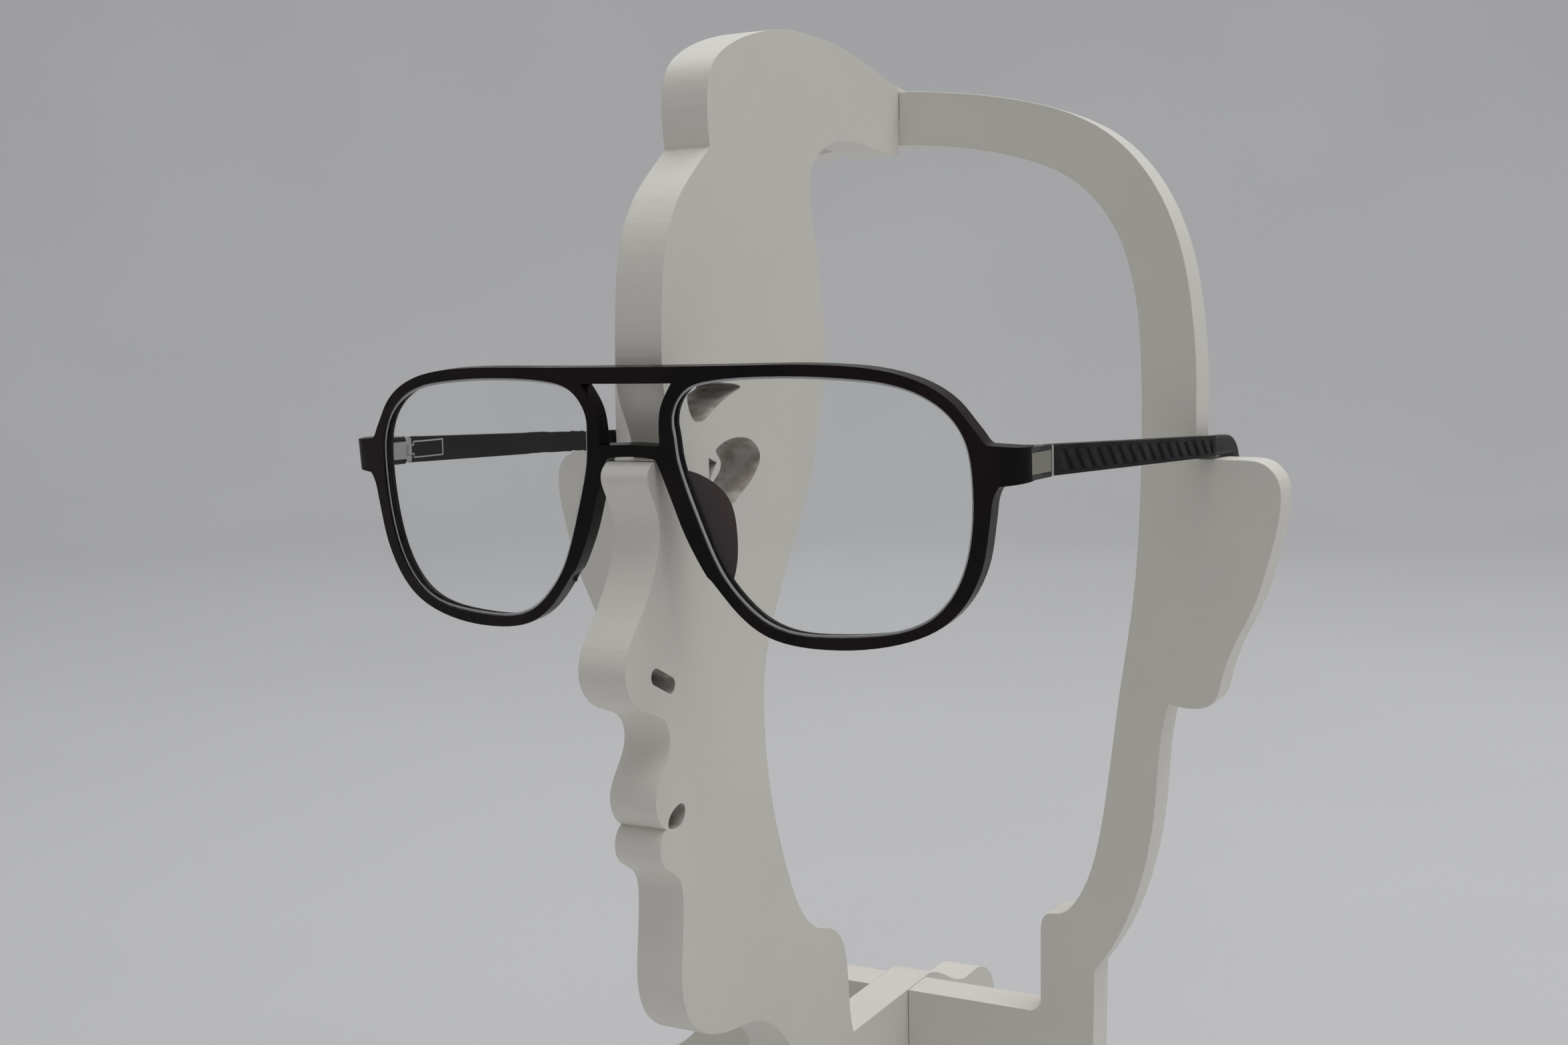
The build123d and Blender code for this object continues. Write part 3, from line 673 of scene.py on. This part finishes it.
@dataclass
class Boards:
    """The two painted boards, with eased edges."""

    bench: Bench
    effects: Effects
    ease: float = 0.35 * MM
    steps: int = 2
    small_share: float = 0.12

    def build(self) -> None:
        """Makes both boards."""
        self._board("profile_board", "face_profile", Vector((1, 0, 0)))
        self._board("ring_board", "head_ring", Vector((0, 1, 0)))

    def _board(self, node: str, name: str, thickness: Vector) -> None:
        """Makes one board.

        Args:
            node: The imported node.
            name: The piece's name.
            thickness: The direction across the board.
        """
        mesh = self.bench.copy(node, merge=0.1 * MM)
        self._mark_small_holes(mesh, thickness)
        self.bench.soften(mesh, self.ease, self.steps)
        paint = BoardPaint(name + "_paint", thickness=tuple(thickness)).make(self.effects)
        # The second finish darkens the small cut-outs' walls as painted shade, over brown board under the
        # paint.
        thin_paint_and_shade = ThinPaintAndShade(name + "_cut_outs").make(self.effects)
        self.bench.place(mesh, name, Body.STAND.value, Slot.BOARD, [paint, thin_paint_and_shade], (node,))

    def _mark_small_holes(self, mesh: bmesh.types.BMesh, thickness: Vector) -> None:
        """Gives the walls of the small cut-outs the second finish, whose darker grey is painted shade.

        Args:
            mesh: The board.
            thickness: The direction across it.
        """
        walls = {f for f in mesh.faces if abs(f.normal.dot(thickness)) < 0.5}
        loops = []
        while walls:
            loop, waiting = set(), [walls.pop()]
            while waiting:
                face = waiting.pop()
                loop.add(face)
                near = {f for e in face.edges for f in e.link_faces} & walls
                walls -= near
                waiting.extend(near)
            loops.append(loop)
        areas = [sum(f.calc_area() for f in loop) for loop in loops]
        small = self.small_share * max(areas)
        for loop, area in zip(loops, areas):
            if area < small:
                for face in loop:
                    face.material_index = 1


# ---- the eyeglasses' front ----


@dataclass
class Front:
    """The acetate front, its lenses, nose pads, side plates and hinges."""

    bench: Bench
    effects: Effects
    wrap_radius: float = 290.0 * MM
    tilt: float = 5.5
    pivot: Vector = Vector((0, -113.2 * MM, 209.1 * MM))
    bar_depth: float = 3.4 * MM
    corner_ease: float = 2.4 * MM
    rim_ease: float = 0.8 * MM
    opening_ease: float = 0.3 * MM
    lug_ease: float = 0.8 * MM
    pad_ease: float = 0.5 * MM
    # Width of the ring that carries the painted highlight round each lens's front face.
    highlight_ring_width: float = 1.0 * MM
    metal_ease: float = 0.08 * MM
    skin: float = 0.12 * MM
    opening_reach: float = 1.25 * MM
    flush: float = 0.05 * MM
    long_edge: float = 2.0 * MM

    def build(self) -> None:
        """Makes every piece of the front."""
        acetate = Moulded(
            "plum_acetate", colour=(0.0035, 0.0025, 0.0025), deep=(0.012, 0.005, 0.006), roughness=0.27,
            grain=0.8, depth=0.0005, shine=0.15, coat=0.02,
        ).make(self.effects)
        self._front(acetate)
        pad = Moulded(
            "pad_acetate", colour=(0.036, 0.022, 0.022), deep=(0.052, 0.028, 0.029), roughness=0.42,
            grain=0.8, depth=0.0005, glow=0.3,
        ).make(self.effects)
        plate = SatinMetal("plate_metal", colour=(0.40, 0.385, 0.325), dull=(0.34, 0.325, 0.275))
        metal = plate.make(self.effects)
        hinge = SatinMetal("hinge_nickel", colour=(0.60, 0.60, 0.59), dull=(0.45, 0.45, 0.45))
        nickel = hinge.make(self.effects)
        clear = ClearLens("lens_clear").make(self.effects)
        # The lens ring's finish is a light grey painted highlight.
        painted_highlight = PaintedLensHighlight("lens_edge_painted_highlight").make(self.effects)
        for side in Side:
            self._lens(side, [clear, painted_highlight])
            self._copy(side, "nose_pad", "nose_flap", self.pad_ease, 3, Slot.FRONT, pad)
            self._copy(side, "side_plate", "lug_plate", self.metal_ease, 2, Slot.METAL, metal)
            self._copy(side, "front_hinge", "lug_hinge", self.metal_ease, 2, Slot.HINGE, nickel)
            self._copy(side, "hinge_screw", "slotted_screw", self.metal_ease, 2, Slot.HINGE, nickel)

    def _copy(
        self, side: Side, node: str, name: str, ease: float, steps: int, slot: Slot,
        finish: bpy.types.Material,
    ) -> None:
        """Makes one side's copy of a node with eased edges.

        Args:
            side: The side.
            node: The piece's node, without its side.
            name: The new piece's name, without its side.
            ease: Width of the bevel on its edges.
            steps: Number of faces across the bevel.
            slot: Its material slot.
            finish: Its material.
        """
        mesh = self.bench.copy(side.node(node))
        self.bench.soften(mesh, ease, steps)
        stands_for = (side.node(node),)
        self.bench.place(mesh, side.node(name), Body.FRONT.value, slot, [finish], stands_for)

    def _depth(self, point: Vector) -> float:
        """How far a point lies behind the tilted and wrapped face of the front."""
        upright = Matrix.Rotation(-math.radians(self.tilt), 3, "X") @ (point - self.pivot)
        return self.wrap_radius - math.hypot(upright.x, upright.y - self.wrap_radius)

    def _front(self, finish: bpy.types.Material) -> None:
        """Makes the acetate front: soft rims, crisper lens openings and rounded lugs.

        Args:
            finish: Its material.
        """
        node = "front_frame"
        mesh = self.bench.copy(node, merge=0.06 * MM)
        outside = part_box(node)[1].x - self.flush
        rounded = outside - self.corner_ease
        lenses = [self.bench.surface(side.node("lens")) for side in Side]

        def on_skin(edge: bmesh.types.BMEdge) -> bool:
            """True on the outlines of the front's face and back."""
            depths = [self._depth(v.co) for v in edge.verts]
            levels = (0, self.bar_depth)
            return any(all(abs(depth - level) < self.skin for depth in depths) for level in levels)

        def at_lens(edge: bmesh.types.BMEdge) -> bool:
            """True beside a lens opening."""
            middle = (edge.verts[0].co + edge.verts[1].co) / 2
            return min(tree.find_nearest(middle)[3] for tree in lenses) < self.opening_reach

        def on_rim(edge: bmesh.types.BMEdge) -> bool:
            """True on the outer and nasal outlines, short of the lugs' corners."""
            return on_skin(edge) and not at_lens(edge) and abs(edge.verts[0].co.x) < rounded

        def on_corner(edge: bmesh.types.BMEdge) -> bool:
            """True on the upright corner between the face and the outer side of a lug."""
            return all(abs(v.co.x) > outside and self._depth(v.co) < self.skin for v in edge.verts)

        def on_lug(edge: bmesh.types.BMEdge) -> bool:
            """True on the long outer edges of a lug."""
            along = abs((edge.verts[0].co - edge.verts[1].co).normalized().y)
            beside = all(abs(v.co.x) > outside for v in edge.verts)
            return beside and along > 0.9 and edge.calc_length() > self.long_edge

        self.bench.soften(mesh, self.corner_ease, 5, on_corner)
        self.bench.soften(mesh, self.opening_ease, 2, lambda e: on_skin(e) and at_lens(e))
        self.bench.soften(mesh, self.rim_ease, 3, on_rim)
        self.bench.soften(mesh, self.lug_ease, 2, on_lug)
        self.bench.place(mesh, "acetate_front", Body.FRONT.value, Slot.FRONT, [finish], (node,))

    def _lens(self, side: Side, finishes: list[bpy.types.Material]) -> None:
        """Makes a lens with a flat ring round its front face that carries a painted highlight.

        Args:
            side: The side.
            finishes: The materials of the lens and of the ring's painted highlight.
        """
        node = side.node("lens")
        mesh = self.bench.copy(node, merge=0.05 * MM, flat=0.05)
        ahead = [f for f in mesh.faces if f.normal.y < -0.8]
        ring = bmesh.ops.inset_region(mesh, faces=ahead, thickness=self.highlight_ring_width, use_even_offset=True)
        # The ring takes the second finish, a painted highlight.
        for face in ring["faces"]:
            face.material_index = 1
        name = side.node("lens_with_highlight_ring")
        self.bench.place(mesh, name, Body.FRONT.value, Slot.LENS, finishes, (node,))


# ---- the temples ----


@dataclass
class Temple:
    """One temple: arm, collar, hinge, ribbed inlay and tip."""

    bench: Bench
    effects: Effects
    side: Side
    arm_ease: float = 0.5 * MM
    tip_ease: float = 1.2 * MM
    metal_ease: float = 0.08 * MM
    rib_pitch: float = 5.0 * MM
    groove_share: float = 0.5
    groove_depth: float = 0.28 * MM
    groove_wall: float = 0.2 * MM
    case_rim: float = 0.3 * MM
    touch: float = 0.3 * MM
    mouth_depth: float = 0.6 * MM
    long_edge: float = 10.0 * MM

    def build(self, finishes: dict[Slot, bpy.types.Material]) -> None:
        """Makes the five pieces.

        Args:
            finishes: The material of each slot.
        """
        self._arm(finishes[Slot.TEMPLE])
        self._tip(finishes[Slot.TIP])
        self._inlay(finishes[Slot.INLAY])
        self._metal("temple_collar", "seam_collar", Slot.METAL, finishes[Slot.METAL])
        self._case(finishes[Slot.HINGE], finishes[Slot.TEMPLE])

    def _metal(self, node: str, name: str, slot: Slot, finish: bpy.types.Material) -> None:
        """Makes a metal piece with eased edges.

        Args:
            node: The piece's node, without its side.
            name: The new piece's name, without its side.
            slot: Its material slot.
            finish: Its material.
        """
        mesh = self.bench.copy(self.side.node(node))
        self.bench.soften(mesh, self.metal_ease, 2)
        stands_for = (self.side.node(node),)
        self.bench.place(mesh, self.side.node(name), self.side.temple, slot, [finish], stands_for)

    def _case(self, metal: bpy.types.Material, dark: bpy.types.Material) -> None:
        """Makes the knuckle and spring case, with a dark panel let into the case's inner side.

        Args:
            metal: The material of the case.
            dark: The material of the panel.
        """
        node = self.side.node("temple_hinge")
        mesh = self.bench.copy(node)
        flat = [f for f in mesh.faces if f.normal.x * self.side.sign < -0.95]
        panel = max(flat, key=lambda face: face.calc_area())
        bmesh.ops.inset_individual(
            mesh, faces=[panel], thickness=self.case_rim, depth=-self.case_rim / 3, use_even_offset=True
        )
        panel.material_index = 1
        name = self.side.node("spring_case")
        self.bench.place(mesh, name, self.side.temple, Slot.HINGE, [metal, dark], (node,))

    def _clear_of(self, *nodes: str) -> EdgeTest:
        """Makes a test for edges that lie clear of other pieces.

        Args:
            nodes: The nodes to keep away from, without their side.

        Returns:
            The test.
        """
        surfaces = [self.bench.surface(self.side.node(node)) for node in nodes]

        def test(edge: bmesh.types.BMEdge) -> bool:
            """True where the edge's middle is away from every surface."""
            middle = (edge.verts[0].co + edge.verts[1].co) / 2
            return min(tree.find_nearest(middle)[3] for tree in surfaces) > self.touch

        return test

    def _arm(self, finish: bpy.types.Material) -> None:
        """Makes the arm, with its pocket left sharp.

        Args:
            finish: Its material.
        """
        node = self.side.node("temple_arm")
        mesh = self.bench.copy(node)
        clear = self._clear_of("temple_inlay", "temple_hinge", "temple_tip", "temple_collar")
        self.bench.soften(mesh, self.arm_ease, 3, lambda e: clear(e) and e.calc_length() > self.long_edge)
        self.bench.place(mesh, self.side.node("arm"), self.side.temple, Slot.TEMPLE, [finish], (node,))

    def _tip(self, finish: bpy.types.Material) -> None:
        """Makes the tip sleeve, well rounded, with a sharp mouth.

        Args:
            finish: Its material.
        """
        node = self.side.node("temple_tip")
        mesh = self.bench.copy(node)
        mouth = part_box(node)[0].y
        clear = self._clear_of("temple_arm")

        def wanted(edge: bmesh.types.BMEdge) -> bool:
            """True away from the sleeve's mouth."""
            return clear(edge) and max(v.co.y for v in edge.verts) > mouth + self.mouth_depth

        self.bench.soften(mesh, self.tip_ease, 4, wanted)
        name = self.side.node("tip_sleeve")
        self.bench.place(mesh, name, self.side.temple, Slot.TIP, [finish], (node,))

    def _inlay(self, finish: bpy.types.Material) -> None:
        """Makes the inlay: a panel cut by slanting lines, with every other strip sunk as a groove.

        Args:
            finish: Its material.
        """
        node = self.side.node("temple_inlay")
        mesh = self.bench.copy(node)
        low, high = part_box(node)
        slant = Vector((0, 1, 1)).normalized()
        step = self.rib_pitch * slant.y
        start = Vector((0, low.y, low.z)).dot(slant)
        end = Vector((0, high.y, high.z)).dot(slant)
        count = int((end - start) / step)
        for index in range(1, count + 1):
            for share in (0.0, self.groove_share):
                at = slant * (start + (index + share) * step)
                geometry = mesh.verts[:] + mesh.edges[:] + mesh.faces[:]
                bmesh.ops.bisect_plane(mesh, geom=geometry, dist=1e-7, plane_co=at, plane_no=slant)
        outer = Vector((self.side.sign, 0, 0))
        grooves = []
        for face in mesh.faces:
            place = (face.calc_center_median().dot(slant) - start) / step
            if face.normal.dot(outer) > 0.9 and 1 <= place < count and place % 1 < self.groove_share:
                grooves.append(face)
        bmesh.ops.inset_individual(
            mesh, faces=grooves, thickness=self.groove_wall, depth=-self.groove_depth, use_even_offset=True
        )
        name = self.side.node("ribbed_panel")
        self.bench.place(mesh, name, self.side.temple, Slot.INLAY, [finish], (node,))


# ---- studio ----


@dataclass
class Softbox:
    """One soft light."""

    name: str
    place: Vector
    aim: Vector
    size: tuple[float, float]
    power: float

    def build(self) -> None:
        """Makes the light."""
        data = bpy.data.lights.new(self.name, "AREA")
        data.shape = "RECTANGLE"
        data.size, data.size_y = self.size
        data.energy = self.power
        light = bpy.data.objects.new(self.name, data)
        light.location = self.place
        light.rotation_mode = "QUATERNION"
        light.rotation_quaternion = (self.aim - self.place).to_track_quat("-Z", "Y")
        bpy.context.scene.collection.objects.link(light)


@dataclass
class Studio:
    """Pale floor that curves up into a wall all round, soft lights and the camera."""

    effects: Effects
    floor_radius: float = 1.7
    cove_radius: float = 0.8
    wall_height: float = 2.4
    cove_steps: int = 12
    turns: int = 96
    camera_place: Vector = Vector((0.1803, -0.3911, 0.2274))
    azimuth: float = 28.16
    elevation: float = 5.69
    roll: float = -0.97
    focal: float = 41.92
    sensor: float = 36.0
    sky_colour: Colour = (0.95, 0.97, 1.0)
    sky_strength: float = 0.46

    def build(self) -> None:
        """Makes the floor, the lights, the world and the camera."""
        self._cove()
        stand = Vector((0, -0.04, 0.2))
        wall = Vector((-0.9, 2.5, 1.3))
        Softbox("overhead", Vector((0.3, 0.12, 1.7)), stand, (1.5, 1.5), 16.0).build()
        Softbox("side_fill", Vector((1.5, 0.1, 0.8)), stand, (1.2, 1.4), 1.6).build()
        Softbox("wall_wash", Vector((-0.4, 0.9, 2.1)), wall, (2.0, 0.6), 8.5).build()
        self._world()
        self._camera()

    def _cove(self) -> None:
        """Makes the floor and wall as one turned surface."""
        mesh = bmesh.new()
        profile = [mesh.verts.new((0, 0, 0)), mesh.verts.new((self.floor_radius, 0, 0))]
        centre = Vector((self.floor_radius, 0, self.cove_radius))
        for index in range(1, self.cove_steps + 1):
            angle = math.radians(90) * index / self.cove_steps
            offset = Vector((math.sin(angle), 0, -math.cos(angle))) * self.cove_radius
            profile.append(mesh.verts.new(centre + offset))
        profile.append(mesh.verts.new((self.floor_radius + self.cove_radius, 0, self.wall_height)))
        edges = [mesh.edges.new(pair) for pair in zip(profile, profile[1:])]
        bmesh.ops.spin(
            mesh, geom=profile + edges, cent=(0, 0, 0), axis=(0, 0, 1), angle=2 * math.pi,
            steps=self.turns, use_merge=True,
        )
        bmesh.ops.remove_doubles(mesh, verts=mesh.verts, dist=1e-6)
        bmesh.ops.recalc_face_normals(mesh, faces=mesh.faces)
        data = bpy.data.meshes.new("studio_floor")
        mesh.to_mesh(data)
        mesh.free()
        data.shade_smooth()
        data.materials.append(Backdrop("pale_paper").make(self.effects))
        floor = bpy.data.objects.new("studio_floor", data)
        bpy.context.scene.collection.objects.link(floor)

    def _world(self) -> None:
        """Lights the open top of the studio evenly."""
        world = bpy.data.worlds.new("studio_sky")
        world.use_nodes = True
        background = world.node_tree.nodes["Background"]
        background.inputs["Color"].default_value = opaque(self.sky_colour)
        background.inputs["Strength"].default_value = self.sky_strength
        bpy.context.scene.world = world
        bpy.context.scene.view_settings.view_transform = "Standard"

    def _camera(self) -> None:
        """Sets the camera on the object, a little above it and towards its left."""
        turn, tilt, roll = (math.radians(v) for v in (self.azimuth, self.elevation, self.roll))
        back = Vector((math.sin(turn) * math.cos(tilt), -math.cos(turn) * math.cos(tilt), math.sin(tilt)))
        right = Vector((math.cos(turn), math.sin(turn), 0))
        up = back.cross(right)
        rolled_right = right * math.cos(roll) + up * math.sin(roll)
        rolled_up = up * math.cos(roll) - right * math.sin(roll)
        data = bpy.data.cameras.new("camera")
        data.lens = self.focal
        data.sensor_width = self.sensor
        camera = bpy.data.objects.new("camera", data)
        axes = Matrix((rolled_right, rolled_up, back)).transposed()
        camera.matrix_world = Matrix.Translation(self.camera_place) @ axes.to_4x4()
        bpy.context.scene.collection.objects.link(camera)
        bpy.context.scene.camera = camera


def main() -> None:
    """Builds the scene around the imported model."""
    logging.basicConfig(level=logging.INFO, format="%(name)s: %(message)s")
    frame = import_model()
    effects = Effects()
    bench = Bench(frame["nodes"])
    Boards(bench, effects).build()
    Front(bench, effects).build()
    black = {"colour": (0.006, 0.006, 0.0065), "deep": (0.005, 0.005, 0.005)}
    grey = {"colour": (0.024, 0.024, 0.025), "deep": (0.020, 0.020, 0.021)}
    temple_finishes = {
        Slot.TEMPLE: Moulded("arm_black", **black, roughness=0.4, shine=0.07),
        Slot.TIP: Moulded("tip_grey", **grey, roughness=0.42, shine=0.2),
        Slot.INLAY: Moulded("inlay_black", **black, roughness=0.42, shine=0.1),
        Slot.METAL: SatinMetal("collar_metal"),
        Slot.HINGE: SatinMetal("case_nickel", colour=(0.60, 0.60, 0.59)),
    }
    materials = {slot: finish.make(effects) for slot, finish in temple_finishes.items()}
    for side in Side:
        Temple(bench, effects, side).build(materials)
    Studio(effects).build()


if __name__ == "__main__":
    main()
